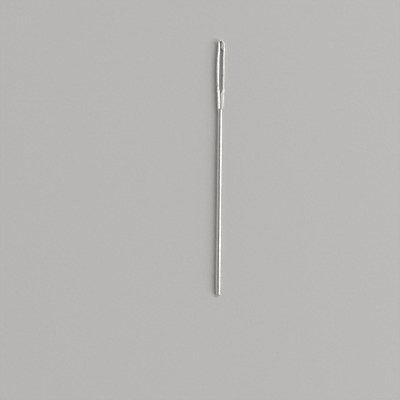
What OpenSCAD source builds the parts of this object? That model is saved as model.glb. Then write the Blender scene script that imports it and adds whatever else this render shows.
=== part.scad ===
// Yarn needle with a long stamped eye and a blunt point.
// It lies flat with its length along Y, the head at +Y and the point at -Y, and the eye goes through along Z.
// A place along the needle is its distance from the top of the crown, which at() turns into Y.

/* [Wire] */
// Length of the needle from the crown to the point
needle_len = 57; // [45:0.5:75]
// Diameter of the wire
wire_d = 1.2; // [1.1:0.05:1.4]
// How much less than the wire's radius the neck is, just below the head
neck_relief = 0.03; // [0:0.005:0.06]
// Length over which the neck widens to the full wire
neck_run = 12; // [5:0.5:14]

/* [Point] */
// Length of the blunt point, from the full wire to its end
point_len = 2.6; // [1.5:0.1:6]
// Diameter of the ball that rounds the end
point_d = 1.0; // [0.8:0.02:1.04]

/* [Head] */
// Length of the stamped head, from the crown to the neck
head_len = 15.5; // [14.5:0.1:17]
// Place where the head is widest
widest_at = 7.2; // [6:0.1:8.5]
// Width of the head there
head_w = 1.84; // [1.76:0.02:2.1]
// Width of the round crown
crown_w = 1.58; // [1.5:0.02:1.66]
// Thickness of the head between its two pressed faces
head_t = 0.84; // [0.76:0.02:0.96]
// How much is rounded off the long edges of the head
edge_cut = 0.05; // [0.02:0.01:0.08]
// How far the head's sides stand out beside the neck where it ends, its rounded edges twice as far
head_shoulder = 0.02; // [0.01:0.01:0.05]
// Length over which the pressed faces rise to the round wire
face_rise = 0.3; // [0.15:0.05:0.8]

/* [Eye] */
// Place of the eye's upper end
eye_top = 1.97; // [1.7:0.05:2.4]
// Place of the eye's pointed lower end
eye_tip = 11.8; // [11:0.1:12.4]
// Width of the eye at its widest
eye_w = 0.72; // [0.6:0.02:0.8]
// Place where the eye is widest
eye_widest_at = 4.5; // [3.5:0.1:6]
// How much each side of the eye draws in from there to its pointed end
eye_draw = 0.17; // [0.08:0.01:0.22]
// Length of the pointed end
eye_point_len = 0.75; // [0.4:0.05:1.2]
// Slope of the upper end across the head
eye_slant = 40; // [0:1:45]

/* [Gutters] */
// Place where the groove pressed into each face begins, under the crown
groove_from = 0.3; // [0.25:0.05:0.5]
// Length of the groove's round upper end
groove_round = 0.4; // [0.2:0.05:0.8]
// Width of the groove where the eye is widest
groove_w = 0.94; // [0.84:0.02:1.1]
// Depth of the groove there
groove_depth = 0.3; // [0.2:0.01:0.34]
// Width of the groove at its lower end
groove_end_w = 0.26; // [0.2:0.02:0.5]
// Depth of the groove at its lower end
groove_end_depth = 0.1; // [0.06:0.01:0.14]
// Distance from the neck to the groove's lower end
groove_short = 0.25; // [0.1:0.05:0.6]

/* [Trimmed flash] */
// Thickness of the flash at the parting line
flash_t = 0.24; // [0.12:0.02:0.4]
// How far the flash stands out on the +X side
flash_right = 0.14; // [0.06:0.01:0.2]
// How far the flash stands out on the -X side
flash_left = 0.05; // [0.02:0.01:0.12]
// Place where the flash begins
flash_from = 10.9; // [10:0.1:12]
// Distance from the neck to the shoulder where the flash ends on the +X side
flash_right_short = 0.6; // [0.1:0.05:1]
// Distance from the neck to the shoulder where the flash ends on the -X side
flash_left_short = 0.2; // [0.1:0.05:1]

/* [Hidden] */
$fn = 96;
round_steps = 8;
swell_step = 0.6;
past = 1;
wire_r = wire_d / 2;
neck_r = wire_r - neck_relief;
half_w = head_w / 2;
half_t = head_t / 2;
crown_r = crown_w / 2;
ball_r = point_d / 2;
end_half = neck_r + head_shoulder;
root_at = head_len - 2 * face_rise;
sway_at = (widest_at + head_len) / 2;
upper_arc = arc_r(widest_at - crown_r, half_w - crown_r);
lower_arc = arc_r(sway_at - widest_at, (half_w - end_half) / 2);
eye_slope = eye_w / 2 * tan(eye_slant);
rail_top = eye_top + eye_slope;
groove_to = head_len - groove_short;
groove_lift = axis_lift(groove_w, groove_depth);
groove_tilt = atan((groove_lift - axis_lift(groove_end_w, groove_end_depth)) / (groove_to - eye_widest_at));

// Y of a place on the needle
function at(place) = needle_len / 2 - place;

// Radius of the arc that leaves a line square to its radius and falls away by drop over a run
function arc_r(run, drop) = (run * run + drop * drop) / (2 * drop);

// How far such an arc has fallen away after a run
function fall(r, run) = r - sqrt(r * r - run * run);

// Half the width of the stamped head: the round crown, a long swell and a sway into the neck
function head_half(place) =
    place < crown_r ? sqrt(max(0, crown_r * crown_r - (crown_r - place) * (crown_r - place)))
    : place < widest_at ? half_w - fall(upper_arc, widest_at - place)
    : place < sway_at ? half_w - fall(lower_arc, place - widest_at)
    : end_half + fall(lower_arc, head_len - place);

// How far over the face the axis of a round groove of a width and depth lies
function axis_lift(width, depth) = (width * width / 4 - depth * depth) / (2 * depth);

// Places at even steps between two others
function stations(from, to, step) =
    let (n = ceil((to - from) / step)) [for (i = [0 : n]) from + (to - from) * i / n];

// Places along the stamped head, close together round the crown
function head_places() =
    concat(
        [for (i = [0 : round_steps - 1]) crown_r * (1 - cos(90 * i / round_steps))],
        stations(crown_r, head_len, swell_step)
    );

// The stamped head: its outline from above between the two faces, with the long edges rounded off
module pressed_head() {
    side = [for (place = head_places()) [head_half(place), at(place)]];
    last = len(side) - 1;
    edges = [for (i = [0 : last - 1]) [norm([side[i].x, half_t]) - edge_cut, side[i].y]];
    end_r = end_half + head_shoulder;
    intersection() {
        linear_extrude(height = head_t, center = true)
            polygon(concat(side, [for (i = [last : -1 : 1]) [-side[i].x, side[i].y]]));
        rotate([-90, 0, 0]) rotate_extrude() polygon(concat(
            [[0, at(-past)], [edges[0].x, at(-past)]],
            edges,
            [[end_r, at(head_len)], [end_r, at(head_len + past)], [0, at(head_len + past)]]
        ));
    }
}

// The round wire from inside the head to the ball of the point
module wire() {
    run = point_len - ball_r;
    lean = acos(ball_r / norm([wire_r, run])) - atan2(run, wire_r);
    ball = [for (i = [0 : round_steps]) -lean - (90 - lean) * i / round_steps];
    rotate([-90, 0, 0]) rotate_extrude() polygon(concat(
        [[0, at(root_at)], [neck_r, at(root_at)], [neck_r, at(head_len)]],
        [[wire_r, at(head_len + neck_run)], [wire_r, at(needle_len - point_len)]],
        [for (a = ball) [ball_r * cos(a), at(needle_len - ball_r) + ball_r * sin(a)]]
    ));
}

// The space in which the pressed faces leave the wire: it opens from inside the head
module risen_space() {
    side = [
        [at(root_at), 2 * half_t - wire_r],
        [at(head_len), wire_r],
        [at(head_len), wire_r + past],
        [at(needle_len + past), wire_r + past]
    ];
    rotate([90, 0, 90]) linear_extrude(height = 2 * past, center = true)
        polygon(concat(side, [for (i = [len(side) - 1 : -1 : 0]) [side[i].x, -side[i].y]]));
}

// Flash on one side: it follows the head's sway at a fixed distance and ends in a square shoulder
module flash(stands, to) {
    edge = [for (place = stations(flash_from, to, swell_step)) [head_half(place) + stands, at(place)]];
    root = neck_r / 2;
    linear_extrude(height = flash_t, center = true)
        polygon(concat([[root, at(to)], [root, at(flash_from - 2 * stands)]], edge));
}

// One side of the punched eye, a long arc from the sloping upper end to the pointed end
function eye_side(side) =
    let (
        half = eye_w / 2,
        to = eye_tip - eye_point_len,
        arc = arc_r(to - eye_widest_at, eye_draw)
    )
    [for (place = stations(eye_top + side * eye_slope, to, swell_step))
        [side * (half - fall(arc, place - eye_widest_at)), at(place)]];

module eye() {
    right = eye_side(1);
    left = eye_side(-1);
    linear_extrude(height = 2 * head_w, center = true)
        polygon(concat(right, [[0, at(eye_tip)]], [for (i = [len(left) - 1 : -1 : 0]) left[i]]));
}

// Half the width of the groove at the level of the face: round at the crown's end, then one long arc
function groove_half(place) =
    let (
        arc = arc_r(groove_to - eye_widest_at, (groove_w - groove_end_w) / 2),
        round_to = groove_from + groove_round,
        share = max(0, round_to - place) / groove_round
    )
    sqrt(1 - share * share) * (groove_w / 2 - fall(arc, place - eye_widest_at));

// How far over the face the rib's leaning axis lies
function lift_at(place) = groove_lift - (place - eye_widest_at) * tan(groove_tilt);

// The groove in one face: a turned rib, pressed in from above, makes both gutters and the dished sides of the eye
module groove() {
    round_to = groove_from + groove_round;
    places = concat(
        stations(groove_from, round_to, groove_round / round_steps),
        stations(round_to + swell_step, groove_to, swell_step)
    );
    middle = at(eye_widest_at);
    translate([0, middle, half_t + groove_lift]) rotate([groove_tilt - 90, 0, 0])
        rotate_extrude() polygon(concat(
            [[0, at(groove_from) - middle]],
            [for (place = places) [norm([groove_half(place), lift_at(place)]), at(place) - middle]],
            [[0, at(groove_to) - middle]]
        ));
}

// The whole needle as formed from one wire
module formed() {
    translate([0, 0, wire_r]) difference() {
        union() {
            pressed_head();
            intersection() {
                wire();
                risen_space();
            }
            flash(flash_right, head_len - flash_right_short);
            mirror([1, 0, 0]) flash(flash_left, head_len - flash_left_short);
        }
        eye();
        for (face = [0, 1]) mirror([0, 0, face]) groove();
    }
}

// The stretch of the needle between two places, or one side of it
module stretch(from, to, left = 1, right = 1) {
    intersection() {
        formed();
        translate([-left * head_w, at(to), -past])
            cube([(left + right) * head_w, to - from, wire_d + 2 * past]);
    }
}

module crown() {
    color("silver") stretch(-past, rail_top);
}

module left_rail() {
    color("silver") stretch(rail_top, eye_tip, right = 0);
}

module right_rail() {
    color("silver") stretch(rail_top, eye_tip, left = 0);
}

module shaft() {
    color("silver") stretch(eye_tip, needle_len + past);
}

crown();
left_rail();
right_rail();
shaft();
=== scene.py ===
"""A steel yarn needle lying on a pale sheet, seen from above and a little to its left."""
import math

import bmesh
import bpy
from mathutils import Matrix, Vector


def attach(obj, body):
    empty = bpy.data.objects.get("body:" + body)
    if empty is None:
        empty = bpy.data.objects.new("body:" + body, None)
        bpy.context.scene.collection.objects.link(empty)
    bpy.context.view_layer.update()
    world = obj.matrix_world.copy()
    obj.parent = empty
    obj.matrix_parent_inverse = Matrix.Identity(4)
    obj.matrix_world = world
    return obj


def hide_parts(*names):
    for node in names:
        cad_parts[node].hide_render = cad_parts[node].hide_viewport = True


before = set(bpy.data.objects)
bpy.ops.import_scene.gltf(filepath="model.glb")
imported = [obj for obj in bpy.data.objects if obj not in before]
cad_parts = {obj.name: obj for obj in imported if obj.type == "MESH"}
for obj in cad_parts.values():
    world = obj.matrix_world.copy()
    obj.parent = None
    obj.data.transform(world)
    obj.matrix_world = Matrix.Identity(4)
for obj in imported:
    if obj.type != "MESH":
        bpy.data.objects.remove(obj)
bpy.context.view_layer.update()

MM = 0.001

# The needle's sizes in millimetres. A place along it is its distance from the top of the crown.
LENGTH = 57.0
WIRE_R = 0.6
NECK_R = 0.57
NECK_RUN = 12.0
POINT_LEN = 2.6
BALL_R = 0.5
# The end is a ball that is a little flatter than round
END_LEN = 0.42
END_POWER = 2.4
END_ROOT = 2.2

HEAD_LEN = 15.5
WIDEST_AT = 7.2
HALF_W = 0.91
CROWN_R = 0.79
END_HALF_W = 0.59
SWAY_AT = (WIDEST_AT + HEAD_LEN) / 2
HALF_T = 0.41
EDGE_R = 0.165
EDGE_LOW_R = 0.05
EDGE_RUN = 1.0
EDGE_SOFT = 0.02
DISH = 0.006
CROWN_DISH = 0.024
DISH_RUN = 1.0
FACE_RISE = 0.3
FACE_SLOPE = 0.6
# The head stands a little to the left of its wire, and its crown leans back to the right
HEAD_SHIFT = -0.03
WIRE_SHIFT = 0.05
CROWN_LEAN = 0.15
CROWN_LEAN_FROM = -0.3
CROWN_LEAN_AT = 1.4
CROWN_LEAN_RUN = 3.1

EYE_TOP = 1.83
EYE_TIP = 11.8
EYE_HALF_W = 0.455
EYE_MIDDLE = 0.06
EYE_WIDEST_AT = 7.0
EYE_DRAW = 0.04
EYE_POINT_LEN = 0.8
# The eye is punched from both faces, so its walls draw in to a waist between them
EYE_WAIST = 0.08
EYE_WAIST_SHARE = 0.3
# The mesh's rows follow the slope of the eye's upper end up to this far along the needle, and across it
# they straighten out between these two distances from the middle
EYE_SLANT = math.tan(math.radians(40))
EYE_SLANT_REACH = 1.2
EYE_SLANT_IN = 0.38
EYE_SLANT_OUT = 0.69
# The rounded corners of the upper end
EYE_CORNER = 0.12
EYE_CORNER_POWER = 2.5
EYE_EDGE = 0.03
EYE_EDGE_SHARE = 0.4
# The lap of steel that the punch left on the eye's left wall, and the nick in it
LAP = 0.17
LAP_TO = 3.0
LAP_FADE = 0.15
NICK = 0.08
NICK_AT = 2.35
NICK_REACH = 0.16

GROOVE_FROM = 0.22
GROOVE_TO = 15.3
GROOVE_ARCH = 0.8
GROOVE_END = math.tan(math.radians(50))
# Between these two places the groove changes over from its form under the crown
UNDER_CROWN_TO = EYE_TOP - 0.3
PAST_CROWN_FROM = EYE_TOP + 0.5
# Round the eye's lower end its left wall steepens, and from there on it veers to the left
LOW_FROM = EYE_TIP - 4
LOW_TO = EYE_TIP + 1
GROOVE_MIDDLE = 0.06
CROWN_GROOVE_MIDDLE = -0.01
GROOVE_VEER = 0.1
# Slopes of its two walls in degrees: the left one is the shallower one
GROOVE_LEFT = 37
GROOVE_LEFT_LOW = 52
GROOVE_RIGHT = 58
CROWN_GROOVE_LEFT = 44
CROWN_GROOVE_RIGHT = 62
GROOVE_BOTTOM = 0.05
GROOVE_EDGE = 0.02
# Half the thickness of the steel left between the bottoms of the two grooves
WEB = 0.08
CROWN_WEB = 0.02
WEB_LOW = 0.25
WEB_LOW_AT = 14.0

# The trimmed flash at the parting line
FLASH_T = 0.24
FLASH_RIGHT = 0.14
FLASH_LEFT = 0.05
FLASH_FROM = 10.82
FLASH_RUN = 0.1
FLASH_RIGHT_TO = 14.9
FLASH_LEFT_TO = 15.3
FLASH_EDGE = 0.012
FLASH_POWER = 40

# How finely the mesh is divided
CROWN_ROWS = 40
END_ROWS = 16
WALL_ROWS = 4
WALL_TURNS = [math.radians(turn) for turn in (30, 60, 90)]
SIDE_COLUMNS = 31
OUTER_COLUMNS = 3
LIP_COLUMNS = 3
INNER_COLUMNS = 9
# Half the distance between the cross-sections on either side of the flash's square shoulder
SHOULDER = 0.01
# Columns on the side, as shares of the angle up to the flash's corner and from there to its root.
# Where no flash stands out, they run as if a little did.
CORNER_SHARES = (0, 0.35, 0.7, 0.88, 0.96)
ROOT_SHARES = (0, 0.08, 0.25, 0.5, 0.75, 0.92)
ROOT_ANGLE = math.radians(14)
FLASH_LEAST = 0.02
# Columns on the face: the outermost as a share of half the width, and a band of them along the groove's lip
FACE_SHARE = 0.8
LIP_BAND = 0.035
LIP_BAND_SHARE = 0.1
LIP_LEAST = 0.1
LIP_CLEAR = 2.5
PLAIN_LIP = 0.3
PLAIN_LIP_FROM = GROOVE_TO + 0.5
PLAIN_LIP_TO = HEAD_LEN + 4
REACH_STEPS = 24
TINY = 1e-4
ROUNDING = 1e-6
NM_PER_M = 1e9
SHARP_EDGE = math.radians(38)
# From this depth on the groove has its full rougher skin and its full painted shade
DULL_AND_SHADE_DEPTH = 0.12

# Where the needle lies in the photograph's 400 x 400 pixels, and how it is turned to the camera
FRAME = 400
MM_PER_PX = 0.22327
NEEDLE_MIDDLE = (219.6, 168.15)
NEEDLE_LEAN = math.atan(0.0113)
NEEDLE_ROLL = math.radians(12)
LENS = 100
SENSOR = 36

# The soft panel on the right: it spans these angles from straight above, and its sizes are in metres
PANEL_FROM = math.radians(18)
PANEL_TO = math.radians(62)
PANEL_SKEW = math.radians(36)
PANEL_AWAY = 1.2
PANEL_TALL = 2.4
PANEL_RADIANCE = 1.75
FLOOR_HALF = 0.9
# The room's light: pale low down, dim overhead, and darkest beyond the point
ROOM_LOW = (0.64, 0.63, 0.615, 1)
ROOM_HIGH = (0.22, 0.216, 0.21, 1)
ROOM_BEYOND = (0.1, 0.098, 0.095, 1)
# It changes over between these parts of a direction, two of them along +Z and two along +Y
LOW_UP = 0.1
HIGH_UP = 0.8
BEYOND_FROM = -0.3
BEYOND_TO = -0.9

# The colours among the sockets of Blender's mix node
MIX_ONE = 6
MIX_TWO = 7
MIX_RESULT = 2

# The plate and the sheet: linear colours, shares of roughness and, in metres, how deep their bumps are
PLATE_PALE = (0.84, 0.83, 0.81, 1)
PLATE_DARK = (0.76, 0.745, 0.72, 1)
# Painted shade: the darker colour mixed into the plate where the groove is deep, and how much of it is mixed
# in
GROOVE_SHADE_PALE = (0.52, 0.51, 0.47, 1)
GROOVE_SHADE_DARK = (0.42, 0.41, 0.37, 1)
GROOVE_SHADE_SHARE = 0.4
PLATE_ROUGH = 0.09
LINES_ROUGH = 0.08
CLOUD_ROUGH = 0.1
SCRATCH_ROUGH = 0.12
RECESS_ROUGH = 0.05
SCRATCH_WIDTH = 0.012
SCRATCH_SHOWN = 6.0
SCRATCH_BUMP = -1.5
CLOUD_BUMP = 0.8
PLATE_BUMP = 0.5
PLATE_BUMP_DEPTH = 0.000004
PAPER_PALE = (0.805, 0.798, 0.785, 1)
PAPER_DARK = (0.775, 0.768, 0.755, 1)
PAPER_ROUGH = 0.85
PAPER_SHEEN = 0.2
PAPER_BUMP = 0.4
PAPER_BUMP_DEPTH = 0.00005


def ramp(value, start, end):
    """0 before start, 1 after end, smooth between them."""
    share = min(1.0, max(0.0, (value - start) / (end - start)))
    return share * share * (3 - 2 * share)


def mixed(one, two, share):
    return one + (two - one) * share


def under_crown(place):
    """1 under the crown, 0 past the eye's upper end, smooth between them."""
    return 1 - ramp(place, UNDER_CROWN_TO, PAST_CROWN_FROM)


def arc_r(run, drop):
    """Radius of an arc that falls away by drop over a run."""
    return (run * run + drop * drop) / (2 * drop)


def fall(radius, run):
    """How far such an arc has fallen away after a run."""
    return radius - math.sqrt(max(0.0, radius * radius - run * run))


def soft_min(one, two, soft):
    """The smaller of two values, blended where they are nearly equal."""
    return (one + two - math.hypot(one - two, soft)) / 2


def soft_max(one, two, soft):
    return (one + two + math.hypot(one - two, soft)) / 2


UPPER_ARC = arc_r(WIDEST_AT - CROWN_R, HALF_W - CROWN_R)
LOWER_ARC = arc_r(SWAY_AT - WIDEST_AT, (HALF_W - END_HALF_W) / 2)
EYE_BEND = EYE_TIP - EYE_POINT_LEN
EYE_ARC = arc_r(EYE_BEND - EYE_WIDEST_AT, EYE_DRAW)


def point_radius(place):
    """Radius of the blunt point: a slow taper that rounds over into a flattened ball."""
    left = LENGTH - place
    cap = 1 - max(0.0, 1 - left / END_LEN) ** END_POWER
    return mixed(BALL_R, WIRE_R, ramp(left, 0, POINT_LEN)) * cap ** (1 / END_ROOT)


def half_width(place):
    """Half the width of the head, or the radius of the wire."""
    if place < CROWN_R:
        return math.sqrt(max(0.0, CROWN_R ** 2 - (CROWN_R - place) ** 2))
    if place < WIDEST_AT:
        return HALF_W - fall(UPPER_ARC, WIDEST_AT - place)
    if place < SWAY_AT:
        return HALF_W - fall(LOWER_ARC, place - WIDEST_AT)
    if place < HEAD_LEN:
        return END_HALF_W + fall(LOWER_ARC, HEAD_LEN - place)
    if place > LENGTH - POINT_LEN:
        return point_radius(place)
    shoulder = (END_HALF_W - NECK_R) * (1 - ramp(place, HEAD_LEN, HEAD_LEN + FACE_RISE))
    return NECK_R + shoulder + (WIRE_R - NECK_R) * min(1.0, (place - HEAD_LEN) / NECK_RUN)


def drift(place):
    """How far to the right the middle of the needle is at a place."""
    lean = CROWN_LEAN * ramp(place, CROWN_LEAN_FROM, CROWN_LEAN_AT)
    lean *= 1 - ramp(place, CROWN_LEAN_AT, CROWN_LEAN_AT + CROWN_LEAN_RUN)
    wire = ramp(place, HEAD_LEN - FACE_RISE, HEAD_LEN + FACE_RISE)
    return HEAD_SHIFT + lean + (WIRE_SHIFT - HEAD_SHIFT) * wire


class Section:
    """The needle's outline across one place, from its middle, before its groove, flash and eye."""

    def __init__(self, place):
        wire = ramp(place, HEAD_LEN - FACE_RISE, HEAD_LEN - FACE_RISE / 2)
        self.crown = max(0.0, CROWN_R - place)
        self.half = half_width(place)
        self.side = self.half * (1 + wire)
        self.dish = mixed(DISH, CROWN_DISH, ramp(place, 0, DISH_RUN) * under_crown(place)) * (1 - wire)
        self.face = HALF_T + FACE_SLOPE * max(0.0, place - HEAD_LEN + FACE_RISE)
        pressed_r = math.hypot(self.half, HALF_T)
        self.round_r = pressed_r + (self.half - pressed_r) * wire
        self.edge_r = mixed(EDGE_R, EDGE_LOW_R, ramp(place, FLASH_FROM - EDGE_RUN, FLASH_FROM + EDGE_RUN))

    def height(self, x):
        """Height of the face over the middle: pressed with rounded edges, or the round wire's."""
        inset = CROWN_R - math.hypot(self.crown, x) if self.crown else self.side - abs(x)
        share = min(1.0, (x / self.half) ** 2)
        pressed = self.face - self.dish * (1 - share) - fall(self.edge_r, max(0.0, self.edge_r - inset))
        return soft_min(pressed, math.sqrt(max(0.0, self.round_r ** 2 - x * x)), EDGE_SOFT)

    def reach(self, angle):
        """How far the outline is from the middle in a direction."""
        across, up = math.cos(angle), math.sin(angle)
        low, high = 0.0, 2 * WIRE_R
        for _ in range(REACH_STEPS):
            middle = (low + high) / 2
            if middle * across < self.side and middle * up < self.height(middle * across):
                low = middle
            else:
                high = middle
        return low


def eye_half(place, side):
    """Half the width of the eye on one side: a long arc from its blunt upper end to its pointed end."""
    if place <= EYE_TOP or place >= EYE_TIP:
        return 0.0
    if place > EYE_BEND:
        return (EYE_HALF_W + side * EYE_MIDDLE - EYE_DRAW) * (EYE_TIP - place) / EYE_POINT_LEN
    half = EYE_HALF_W + side * EYE_MIDDLE - fall(EYE_ARC, place - EYE_WIDEST_AT)
    if side < 0:
        half -= LAP * (1 - ramp(place, LAP_TO - LAP_FADE, LAP_TO + LAP_FADE))
        half += NICK * (1 - ramp(abs(place - NICK_AT), 0, NICK_REACH))
    share = max(0.0, 1 - (place - EYE_TOP) / EYE_CORNER)
    return half * (1 - share ** EYE_CORNER_POWER) ** (1 / EYE_CORNER_POWER)


def groove_wall(place, side):
    """Slope of the groove's wall on one side."""
    if side > 0:
        return math.tan(math.radians(mixed(GROOVE_RIGHT, CROWN_GROOVE_RIGHT, under_crown(place))))
    slope = mixed(GROOVE_LEFT, GROOVE_LEFT_LOW, ramp(place, LOW_FROM, LOW_TO))
    return math.tan(math.radians(mixed(slope, CROWN_GROOVE_LEFT, under_crown(place))))


def groove_middle(place):
    """Where the groove's deepest line lies across the needle: it veers to the left below the eye."""
    middle = mixed(GROOVE_MIDDLE, CROWN_GROOVE_MIDDLE, under_crown(place))
    return middle - GROOVE_VEER * ramp(place, LOW_TO, GROOVE_TO)


def web_half(place):
    """Half the thickness of the steel left between the bottoms of the two grooves."""
    web = mixed(WEB, CROWN_WEB, under_crown(place))
    return web + (WEB_LOW - WEB) * max(0.0, (place - EYE_BEND) / (WEB_LOW_AT - EYE_BEND))


def groove_lip(place, side):
    """How far from the middle the groove's lip is on one side."""
    slope = max(0.0, HALF_T - web_half(place)) / groove_wall(place, side) + GROOVE_BOTTOM
    return max(0.0, side * groove_middle(place) + math.sqrt(slope ** 2 - GROOVE_BOTTOM ** 2))


def flash_stands(place, side):
    """How far the trimmed flash stands out on one side."""
    full, end = (FLASH_RIGHT, FLASH_RIGHT_TO) if side > 0 else (FLASH_LEFT, FLASH_LEFT_TO)
    if not FLASH_FROM < place < end:
        return 0.0
    return full * min(1.0, (place - FLASH_FROM) / FLASH_RUN)


def face_point(place, x):
    """Height of the pressed face over the wire's middle, and how deep in the groove that is."""
    shell = Section(place).height(x)
    if not GROOVE_FROM < place < GROOVE_TO:
        return shell, 0.0
    out = x - groove_middle(place)
    vee = web_half(place) + groove_wall(place, out) * (math.hypot(out, GROOVE_BOTTOM) - GROOVE_BOTTOM)
    upper = shell - (place - GROOVE_FROM - GROOVE_ARCH * out * out) * GROOVE_END
    lower = shell - (GROOVE_TO - place) * GROOVE_END
    bottom = soft_max(vee, soft_max(upper, lower, GROOVE_EDGE), GROOVE_EDGE)
    z = soft_min(shell, bottom, GROOVE_EDGE)
    return z, max(0.0, shell - z)


def side_point(section, angle, stands):
    """A point round the needle's side, with the flash at its parting line."""
    reach = section.reach(angle)
    if stands:
        across = math.cos(angle) / (section.half + stands)
        up = 2 * math.sin(angle) / FLASH_T
        ledge = (across ** FLASH_POWER + up ** FLASH_POWER) ** (-1 / FLASH_POWER)
        reach = soft_max(reach, ledge, FLASH_EDGE)
    return reach * math.cos(angle), reach * math.sin(angle)


def slid(place, x):
    """A place moved along the needle, so that the mesh's rows lie along the eye's sloping upper end."""
    near = 1 - ramp(abs(place - EYE_TOP), 0, EYE_SLANT_REACH)
    return place + x * EYE_SLANT * near * (1 - ramp(abs(x), EYE_SLANT_IN, EYE_SLANT_OUT))


def places_along():
    """Places of the cross-sections, close together where the shape changes fast."""
    found = [CROWN_R * (1 - math.cos(math.pi / 2 * i / CROWN_ROWS)) for i in range(CROWN_ROWS + 1)]
    # Up to each of these places the cross-sections are at most so far apart
    stops = [
        (UNDER_CROWN_TO, 0.05), (EYE_TOP, 0.025), (EYE_TOP + EYE_CORNER, 0.012),
        (LAP_TO + LAP_FADE, 0.035), (FLASH_FROM, 0.12), (FLASH_FROM + FLASH_RUN, 0.02),
        (EYE_BEND, 0.05), (EYE_TIP, 0.03),
        (FLASH_RIGHT_TO - SHOULDER, 0.06), (FLASH_RIGHT_TO + SHOULDER, 0.02),
        (HEAD_LEN - FACE_RISE, 0.03), (HEAD_LEN + FACE_RISE, 0.015), (HEAD_LEN + NECK_RUN, 0.6),
        (LENGTH - POINT_LEN, 1.2), (LENGTH - END_LEN, 0.1),
    ]
    for to, step in stops:
        start = found[-1]
        count = max(1, math.ceil((to - start) / step - ROUNDING))
        found += [start + (to - start) * (i + 1) / count for i in range(count)]
    found += [LENGTH - END_LEN * (1 - math.sin(math.pi / 2 * (i + 1) / END_ROWS)) for i in range(END_ROWS)]
    return found


def columns(place, side, half, inner):
    """How far out the columns on the pressed face are, from the side inwards to the eye or the middle."""
    band = min(LIP_BAND, LIP_BAND_SHARE * half)
    clear = inner + LIP_CLEAR * band
    lip = max(groove_lip(min(place, GROOVE_TO), side), LIP_LEAST, clear)
    lip = mixed(lip, PLAIN_LIP, ramp(place, PLAIN_LIP_FROM, PLAIN_LIP_TO))
    lip = min(lip, max(half / 2, clear))
    outer = FACE_SHARE * half
    high, low = lip + band, lip - band
    spread = [outer + (high - outer) * i / OUTER_COLUMNS for i in range(OUTER_COLUMNS)]
    spread += [lip + band * (1 - i / LIP_COLUMNS) for i in range(2 * LIP_COLUMNS + 1)]
    return spread + [low + (inner - low) * (i + 1) / INNER_COLUMNS for i in range(INNER_COLUMNS)]


def side_angles(section, stands, last):
    """Directions from the middle to the columns on the side: close together at the flash, up to the face."""
    root = min(ROOT_ANGLE, math.atan2(FLASH_T / 2, section.half))
    corner = root * section.half / (section.half + max(stands, FLASH_LEAST))
    angles = [corner * share for share in CORNER_SHARES]
    angles += [corner + (root - corner) * share for share in ROOT_SHARES]
    return angles + [root + (last - root) * i / SIDE_COLUMNS for i in range(SIDE_COLUMNS)]


def eye_wall(place, side, inner, edge, top):
    """The eye's wall on one side, from the face's rounded edge down to the waist between the faces."""
    wall = []
    for turn in WALL_TURNS:
        x = side * (inner + edge * (1 - math.sin(turn)))
        wall.append((x, slid(place, x), top - EYE_EDGE * (1 - math.cos(turn)), 1.0))
    x, at, low, deep = wall[-1]
    waist = min(EYE_WAIST, EYE_WAIST_SHARE * inner)
    steps = [i / WALL_ROWS for i in range(1, WALL_ROWS + 1)]
    return wall + [(x - side * waist * step, at, low * (1 - step), deep) for step in steps]


def cross_row(place, side):
    """One quarter of a cross-section, from the parting line to the eye or the middle, and the eye's wall."""
    solid = min(max(place, TINY), LENGTH - TINY)
    section = Section(solid)
    inner = eye_half(place, side)
    edge = min(EYE_EDGE, EYE_EDGE_SHARE * inner)
    outs = columns(solid, side, section.half, inner + edge)
    last = math.atan2(section.height(outs[0]), outs[0])
    stands = flash_stands(place, side)
    row = []
    for angle in side_angles(section, stands, last):
        out, z = side_point(section, angle, stands)
        row.append((side * out, place, z, 0.0))
    for out in outs:
        at = slid(place, side * out)
        z, deep = face_point(min(max(at, TINY), LENGTH - TINY), side * out)
        row.append((side * out, at, z, min(1.0, deep / DULL_AND_SHADE_DEPTH)))
    return row, [row[-1]] + eye_wall(place, side, inner, edge, row[-1][2])


class Skin:
    """A mesh in which points that lie together are one vertex."""

    def __init__(self):
        self.points = []
        self.recess = []
        self.index = {}
        self.faces = []

    def vertex(self, x, place, z, deep):
        """The vertex at a point given from the needle's middle and its crown."""
        across = x * (0.0 < place < LENGTH) + drift(place)
        up = WIRE_R + z * (place < LENGTH)
        point = (across * MM, (LENGTH / 2 - place) * MM, up * MM)
        key = tuple(round(value * NM_PER_M) for value in point)
        if key not in self.index:
            self.index[key] = len(self.points)
            self.points.append(point)
            self.recess.append(deep)
        return self.index[key]

    def sheet(self, lines, face):
        """Faces between lines of points, on the upper side or mirrored on the lower one."""
        rows = [[self.vertex(x, place, face * z, deep) for x, place, z, deep in line] for line in lines]
        for one, two in zip(rows, rows[1:]):
            for corners in zip(one, one[1:], two[1:], two):
                loop = list(dict.fromkeys(corners))
                if len(loop) > 2:
                    self.faces.append(loop)

    def mesh(self, name):
        made = bpy.data.meshes.new(name)
        made.from_pydata(self.points, [], self.faces)
        made.attributes.new("recess", "FLOAT", "POINT").data.foreach_set("value", self.recess)
        return made


def build_needle():
    """One seamless mesh: for each quarter of the needle its side and face and, along the eye, its wall."""
    skin = Skin()
    places = places_along()
    beside_eye = [EYE_TOP - TINY < place < EYE_TIP + TINY for place in places]
    for side in (-1, 1):
        quarter = [cross_row(place, side) for place in places]
        rows = [row for row, _ in quarter]
        walls = [wall for (_, wall), beside in zip(quarter, beside_eye) if beside]
        for face in (-1, 1):
            skin.sheet(rows, face)
            skin.sheet(walls, face)
    return skin.mesh("needle")


def face_outwards(mesh):
    """Turns every face outwards and shades the mesh smooth up to its sharp edges."""
    edited = bmesh.new()
    edited.from_mesh(mesh)
    bmesh.ops.recalc_face_normals(edited, faces=edited.faces)
    edited.to_mesh(mesh)
    edited.free()
    mesh.shade_smooth()
    mesh.set_sharp_from_angle(angle=SHARP_EDGE)


def new_object(name, data):
    """A new object, linked into the scene."""
    made = bpy.data.objects.new(name, data)
    bpy.context.scene.collection.objects.link(made)
    return made


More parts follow.
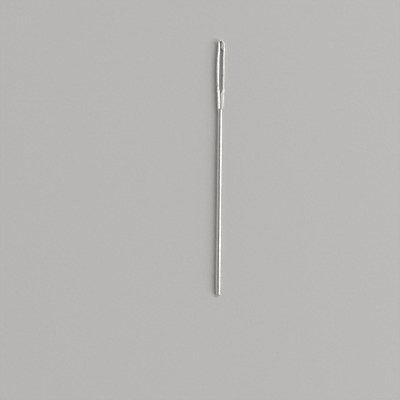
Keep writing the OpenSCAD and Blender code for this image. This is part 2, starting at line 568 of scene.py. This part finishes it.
def add(tree, kind, inputs=(), **settings):
    """A new node with its settings and inputs; an input is a value or another node's output."""
    made = tree.nodes.new(kind)
    for name, value in settings.items():
        setattr(made, name, value)
    for name, value in dict(inputs).items():
        if isinstance(value, bpy.types.NodeSocket):
            tree.links.new(value, made.inputs[name])
        else:
            made.inputs[name].default_value = value
    return made


def maths(tree, operation, *values, clamp=False):
    made = add(tree, "ShaderNodeMath", dict(enumerate(values)), operation=operation, use_clamp=clamp)
    return made.outputs[0]


def weighted(tree, total, *parts):
    """A total to which each part is added, times its weight."""
    for part, weight in parts:
        total = maths(tree, "MULTIPLY_ADD", part, weight, total)
    return total


def noise(tree, coords, scale, detail, along=1, turn=(0, 0, 0)):
    """Noise whose grain is stretched along the needle: along is its scale in that direction."""
    mapped = add(tree, "ShaderNodeMapping", {"Vector": coords, "Rotation": turn, "Scale": (1, along, 1)})
    made = add(tree, "ShaderNodeTexNoise", {"Vector": mapped.outputs[0], "Scale": scale, "Detail": detail})
    return made.outputs["Fac"]


def smooth_step(tree, value, start, end):
    inputs = {"Value": value, "From Min": start, "From Max": end}
    return add(tree, "ShaderNodeMapRange", inputs, interpolation_type="SMOOTHSTEP").outputs[0]


def mix_colour(tree, share, one, two):
    inputs = {"Factor": share, MIX_ONE: one, MIX_TWO: two}
    return add(tree, "ShaderNodeMix", inputs, data_type="RGBA").outputs[MIX_RESULT]


def new_material(name):
    """A new material with its node tree, its shader and the object's coordinates."""
    material = bpy.data.materials.new(name)
    material.use_nodes = True
    tree = material.node_tree
    coords = add(tree, "ShaderNodeTexCoord").outputs["Object"]
    return material, tree, tree.nodes["Principled BSDF"], coords


def emboss(tree, shader, height, strength, depth):
    bump = add(tree, "ShaderNodeBump", {"Height": height, "Strength": strength, "Distance": depth})
    tree.links.new(bump.outputs[0], shader.inputs["Normal"])


def scratches(tree, coords):
    """Thin lines where one noise passes through its middle, shown where another is high."""
    cross = noise(tree, coords, scale=9000, detail=1, along=0.04, turn=(0, 0.2, 0.5))
    sparse = noise(tree, coords, scale=2600, detail=1, along=0.3)
    ridge = maths(tree, "ABSOLUTE", maths(tree, "SUBTRACT", cross, 0.5))
    thin = maths(tree, "SUBTRACT", 1.0, maths(tree, "DIVIDE", ridge, SCRATCH_WIDTH), clamp=True)
    some = maths(tree, "MULTIPLY", maths(tree, "SUBTRACT", sparse, 0.5), SCRATCH_SHOWN, clamp=True)
    return maths(tree, "MULTIPLY", thin, some)


def plated_steel():
    """Polished nickel plate: drawing lines, scratches, faint clouding, and in the grooves a rougher skin
    with painted shade that darkens the colour with depth.
    """
    material, tree, shader, coords = new_material("plated_steel")
    lines = noise(tree, coords, scale=14000, detail=3, along=0.02)
    cloud = noise(tree, coords, scale=900, detail=3, along=0.35)
    scratch = scratches(tree, coords)
    # How deep in the groove a point lies: it roughens the plate there and drives the painted shade
    recess = add(tree, "ShaderNodeAttribute", attribute_name="recess").outputs["Fac"]

    plate = mix_colour(tree, cloud, PLATE_PALE, PLATE_DARK)
    # Painted shade: a darker plate colour, mixed in more the deeper the groove is
    painted_shade = mix_colour(tree, cloud, GROOVE_SHADE_PALE, GROOVE_SHADE_DARK)
    colour = mix_colour(tree, maths(tree, "MULTIPLY", recess, GROOVE_SHADE_SHARE), plate, painted_shade)
    tree.links.new(colour, shader.inputs["Base Color"])
    shader.inputs["Metallic"].default_value = 1.0

    rough = weighted(
        tree, PLATE_ROUGH,
        (lines, LINES_ROUGH), (cloud, CLOUD_ROUGH), (scratch, SCRATCH_ROUGH), (recess, RECESS_ROUGH),
    )
    tree.links.new(rough, shader.inputs["Roughness"])
    height = weighted(tree, lines, (scratch, SCRATCH_BUMP), (cloud, CLOUD_BUMP))
    emboss(tree, shader, height, PLATE_BUMP, PLATE_BUMP_DEPTH)
    return material


def paper():
    """The sheet under the needle: pale, matt, with a faint grain."""
    material, tree, shader, coords = new_material("paper")
    grain = noise(tree, coords, scale=1500, detail=4)
    colour = mix_colour(tree, grain, PAPER_DARK, PAPER_PALE)
    tree.links.new(colour, shader.inputs["Base Color"])
    shader.inputs["Roughness"].default_value = PAPER_ROUGH
    shader.inputs["Specular IOR Level"].default_value = PAPER_SHEEN
    emboss(tree, shader, grain, PAPER_BUMP, PAPER_BUMP_DEPTH)
    return material


def lay_floor():
    """The sheet that the needle lies on."""
    mesh = bpy.data.meshes.new("floor")
    corners = [(x * FLOOR_HALF, y * FLOOR_HALF, 0) for x, y in ((-1, -1), (1, -1), (1, 1), (-1, 1))]
    mesh.from_pydata(corners, [], [(0, 1, 2, 3)])
    mesh.materials.append(paper())
    floor = new_object("floor", mesh)


def light_room():
    """A soft room: pale low down, dim overhead and darkest beyond the point."""
    world = bpy.data.worlds.new("room")
    bpy.context.scene.world = world
    world.use_nodes = True
    tree = world.node_tree
    coords = add(tree, "ShaderNodeTexCoord").outputs["Generated"]
    toward = add(tree, "ShaderNodeSeparateXYZ", {0: coords}).outputs
    colour = mix_colour(tree, smooth_step(tree, toward["Z"], LOW_UP, HIGH_UP), ROOM_LOW, ROOM_HIGH)
    beyond = smooth_step(tree, toward["Y"], BEYOND_FROM, BEYOND_TO)
    colour = mix_colour(tree, beyond, colour, ROOM_BEYOND)
    tree.links.new(colour, tree.nodes["Background"].inputs["Color"])


def hang_panel():
    """One wide soft panel above and to the right."""
    middle, half = (PANEL_FROM + PANEL_TO) / 2, (PANEL_TO - PANEL_FROM) / 2
    panel = bpy.data.lights.new("panel", "AREA")
    panel.shape = "RECTANGLE"
    panel.size = 2 * PANEL_AWAY * math.tan(half) * math.cos(PANEL_SKEW)
    panel.size_y = PANEL_TALL
    panel.energy = PANEL_RADIANCE * math.pi * panel.size * panel.size_y
    lamp = new_object("panel", panel)
    lamp.location = Vector((math.sin(middle), 0, math.cos(middle))) * PANEL_AWAY
    lamp.rotation_euler = (Matrix.Rotation(middle, 3, "Y") @ Matrix.Rotation(PANEL_SKEW, 3, "Z")).to_euler()


def place_camera():
    """Square to the needle's length and from its left, as it is rolled to the right in the photograph."""
    camera = bpy.data.cameras.new("camera")
    camera.lens = LENS
    camera.sensor_width = SENSOR
    seat = new_object("camera", camera)
    back = Vector((-math.sin(NEEDLE_ROLL), 0, math.cos(NEEDLE_ROLL)))
    level = Vector((math.cos(NEEDLE_ROLL), 0, math.sin(NEEDLE_ROLL)))
    along = Vector((0, 1, 0))
    right = level * math.cos(NEEDLE_LEAN) + along * math.sin(NEEDLE_LEAN)
    up = along * math.cos(NEEDLE_LEAN) - level * math.sin(NEEDLE_LEAN)
    across = (NEEDLE_MIDDLE[0] - FRAME / 2) * MM_PER_PX * MM
    above = (FRAME / 2 - NEEDLE_MIDDLE[1]) * MM_PER_PX * MM
    away = LENS / SENSOR * FRAME * MM_PER_PX * MM
    aim = Vector((WIRE_SHIFT * MM, 0, WIRE_R * MM))
    seat.location = aim + back * away - right * across - up * above
    seat.rotation_euler = Matrix((right, up, back)).transposed().to_euler()
    bpy.context.scene.camera = seat


place_camera()
light_room()
hang_panel()
lay_floor()

mesh = build_needle()
face_outwards(mesh)
mesh.materials.append(plated_steel())
needle = new_object("needle", mesh)
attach(needle, "root")
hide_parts("crown", "left_rail", "right_rail", "shaft")

bpy.context.scene.view_settings.view_transform = "Standard"
